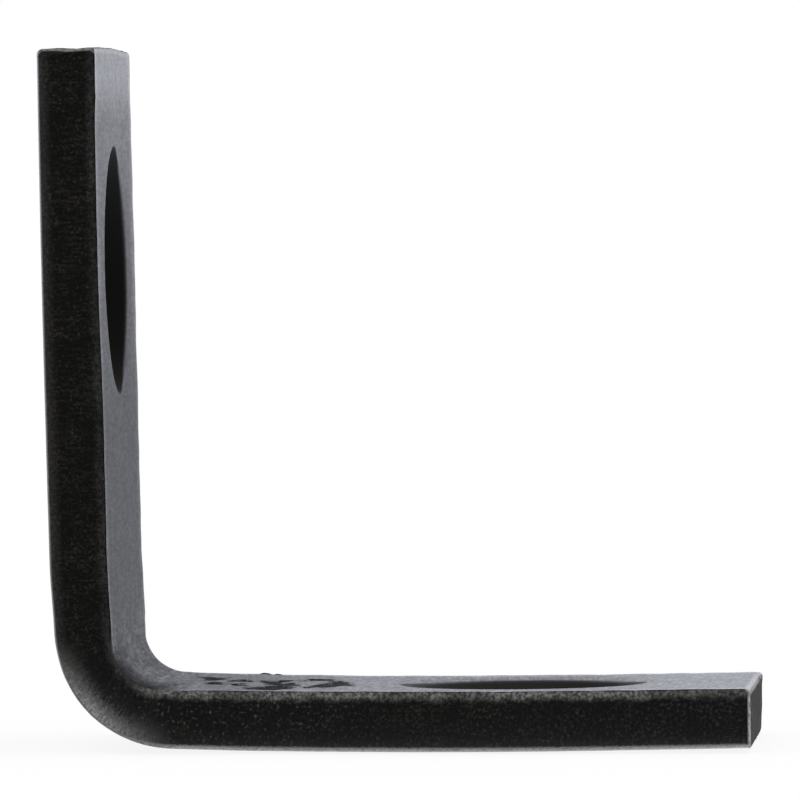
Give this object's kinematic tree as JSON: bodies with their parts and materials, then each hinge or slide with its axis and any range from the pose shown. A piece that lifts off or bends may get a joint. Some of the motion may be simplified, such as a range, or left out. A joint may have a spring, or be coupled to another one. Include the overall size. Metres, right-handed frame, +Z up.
{
  "type": "corner brace bracket",
  "caption": "Small flat-bar corner brace bent into an L, with a countersunk screw hole in each leg, that ties two boards together at a square corner.",
  "frame": {"origin": "bottom centre of the whole brace, on the plane of the lower leg's outer face", "axes": "+X runs along the lower leg from the bend to its end, +Z goes up beside the upright leg, and Y runs across the bar's width"},
  "size_m": [0.0258, 0.0132, 0.0256],
  "materials": {
    "black_coat": "satin"
  },
  "bodies": {
    "root": {"brace": "black_coat"}
  },
  "joints": []
}
